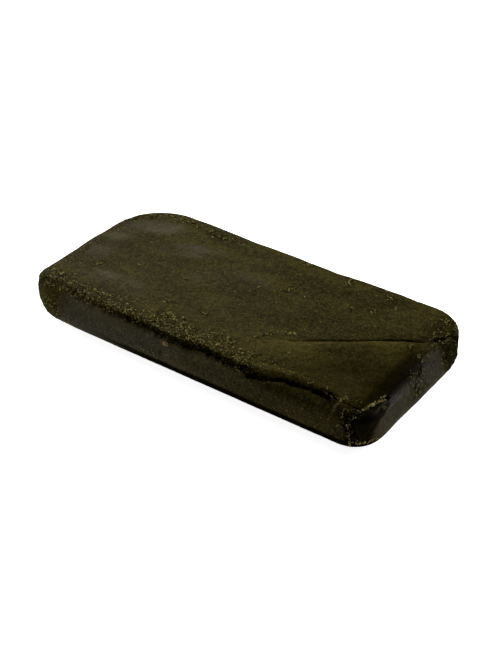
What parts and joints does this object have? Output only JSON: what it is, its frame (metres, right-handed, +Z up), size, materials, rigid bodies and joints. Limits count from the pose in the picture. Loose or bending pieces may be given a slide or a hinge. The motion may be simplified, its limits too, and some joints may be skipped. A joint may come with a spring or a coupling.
{
  "type": "rosin cake",
  "caption": "Bare rectangular slab of pressed resin, folded from plies, with a ragged front lip, a slanting crease and crumbly edges.",
  "frame": {"origin": "centre of the footprint, on the surface the cake rests on", "axes": "+X along the length, towards the end with the lapped ply; +Y from the lipped front side to the rear; +Z up, through the thickness"},
  "size_m": [0.07, 0.0346, 0.0078],
  "materials": {
    "body_resin": "satin",
    "leaf_resin": "matte",
    "lap_resin": "satin",
    "tuck_resin": "satin",
    "torn_resin": "matte",
    "yellow_crumb": "matte"
  },
  "bodies": {
    "root": {"slab_body": "body_resin", "top_leaf": "leaf_resin", "end_leaf": "lap_resin", "rear_end_tuck": "tuck_resin", "left_corner_tuck": "torn_resin", "corner_fragment": "torn_resin", "lip_crumb": "yellow_crumb", "corner_crumb": "yellow_crumb"}
  },
  "joints": []
}
